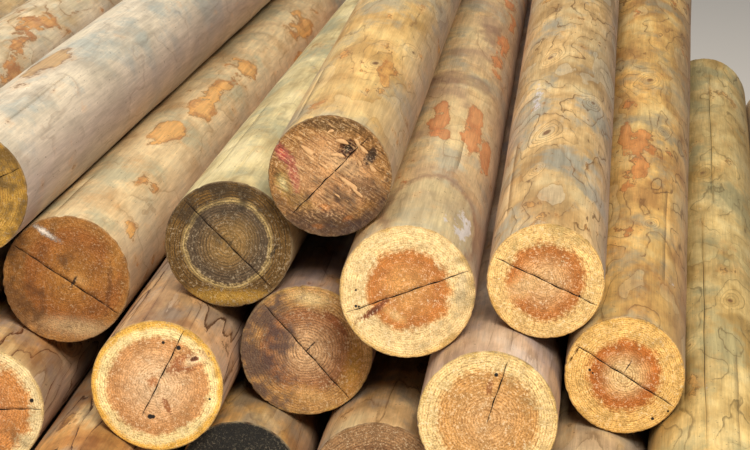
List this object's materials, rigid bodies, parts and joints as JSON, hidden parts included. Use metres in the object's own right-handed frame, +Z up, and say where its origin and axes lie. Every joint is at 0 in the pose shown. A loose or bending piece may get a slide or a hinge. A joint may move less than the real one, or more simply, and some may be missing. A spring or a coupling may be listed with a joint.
{
  "type": "stack of peeled logs",
  "caption": "Loose stack of debarked round softwood poles, sawn square at both ends, lying in rows on the ground with each upper pole in the hollow between two lower ones.",
  "frame": {"origin": "on the ground, under the middle of the stack's footprint", "axes": "+Y along the logs from the front ends to the back ends, +X across the stack to the right, +Z up"},
  "size_m": [1.4318, 2.921, 0.4369],
  "materials": {
    "peeled_pine": "bare peeled and weathered, sawn ends"
  },
  "bodies": {
    "root": {"ground_row_log_1": "peeled_pine", "ground_row_log_2": "peeled_pine", "ground_row_log_3": "peeled_pine", "ground_row_log_4": "peeled_pine", "ground_row_log_5": "peeled_pine", "ground_row_log_6": "peeled_pine", "ground_row_log_7": "peeled_pine", "ground_row_log_8": "peeled_pine", "second_row_log_1": "peeled_pine", "second_row_log_2": "peeled_pine", "second_row_log_3": "peeled_pine", "second_row_log_4": "peeled_pine", "second_row_log_5": "peeled_pine", "second_row_log_6": "peeled_pine", "second_row_log_7": "peeled_pine", "third_row_log_1": "peeled_pine", "third_row_log_2": "peeled_pine", "third_row_log_3": "peeled_pine", "third_row_log_4": "peeled_pine", "third_row_log_5": "peeled_pine", "third_row_log_6": "peeled_pine", "top_row_log_1": "peeled_pine", "top_row_log_2": "peeled_pine", "top_row_log_3": "peeled_pine", "wedged_log": "peeled_pine"}
  },
  "joints": []
}
